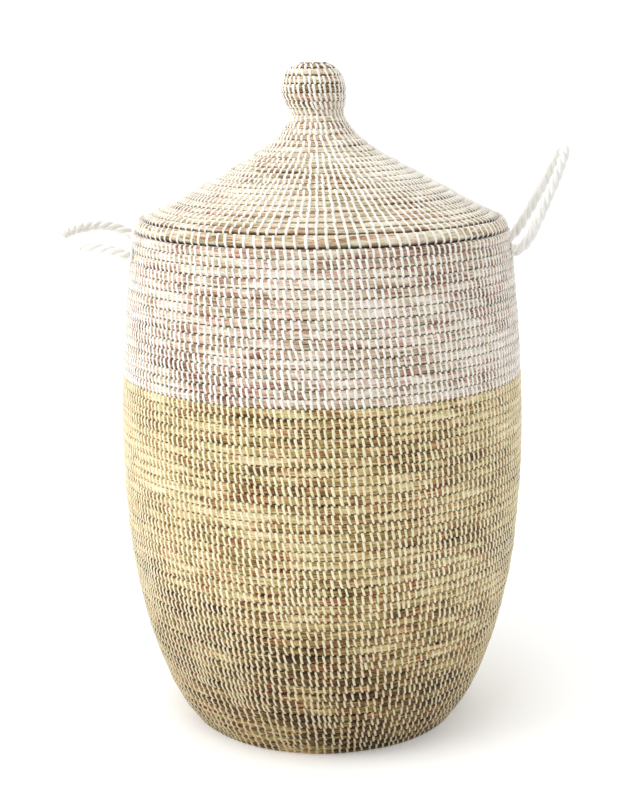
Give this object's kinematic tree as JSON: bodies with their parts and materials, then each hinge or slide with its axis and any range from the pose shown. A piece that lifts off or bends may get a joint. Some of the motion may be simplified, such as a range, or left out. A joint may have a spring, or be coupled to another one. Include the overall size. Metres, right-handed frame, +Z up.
{
  "type": "laundry basket",
  "caption": "Tall barrel-shaped basket of coiled, strip-sewn grass with a lift-off conical lid, a round knob and two stiff rope loop handles.",
  "frame": {"origin": "centre of the base's resting face, on the basket's axis", "axes": "+Z up along the basket's axis; the handles stand on the X axis, the raised one at +X; -Y is the front"},
  "size_m": [0.5371, 0.4296, 0.7005],
  "materials": {
    "grass_white_sewn": "dry coiled grass, sewn with white plastic strip",
    "grass_yellow_sewn": "dry coiled grass, sewn with pale yellow plastic strip",
    "grass_stuffing": "loose grass bundle",
    "white_rope": "twisted plastic strip, soft sheen",
    "white_strip": "flat plastic strip, soft sheen"
  },
  "bodies": {
    "basket": {"base_start_knot": "grass_yellow_sewn", "base_coil": "grass_yellow_sewn", "foot_coil": "grass_yellow_sewn", "lower_wall_coil": "grass_yellow_sewn", "upper_wall_coil": "grass_white_sewn", "rim_coil": "grass_white_sewn", "left_handle_front_stub": "white_rope", "left_handle_front_lashing": "white_strip", "left_handle_front_knot": "white_rope", "left_handle_back_stub": "white_rope", "left_handle_back_lashing": "white_strip", "left_handle_back_knot": "white_rope", "right_handle_front_stub": "white_rope", "right_handle_front_lashing": "white_strip", "right_handle_front_knot": "white_rope", "right_handle_back_stub": "white_rope", "right_handle_back_lashing": "white_strip", "right_handle_back_knot": "white_rope"},
    "lid": {"lid_cone_coil": "grass_white_sewn", "lid_edge_coil": "grass_white_sewn", "lid_locating_ring": "grass_white_sewn", "knob_neck_coil": "grass_white_sewn", "knob_ball_coil": "grass_white_sewn", "knob_core": "grass_stuffing", "knob_top_button": "grass_white_sewn"},
    "left_handle": {"left_handle_rope": "white_rope"},
    "right_handle": {"right_handle_rope": "white_rope"}
  },
  "joints": [
    {"name": "lid_lift", "type": "slide", "parent": "basket", "child": "lid", "axis": [0, 0, 1], "range_m": [0, 0.18]},
    {"name": "left_handle_swing", "type": "hinge", "parent": "basket", "child": "left_handle", "pos_m": [-0.19956, 0, 0.51], "axis": [0, 1, 0], "range_deg": [-80, 45]},
    {"name": "right_handle_swing", "type": "hinge", "parent": "basket", "child": "right_handle", "pos_m": [0.20354, 0, 0.51], "axis": [0, -1, 0], "range_deg": [-130, 22]}
  ]
}
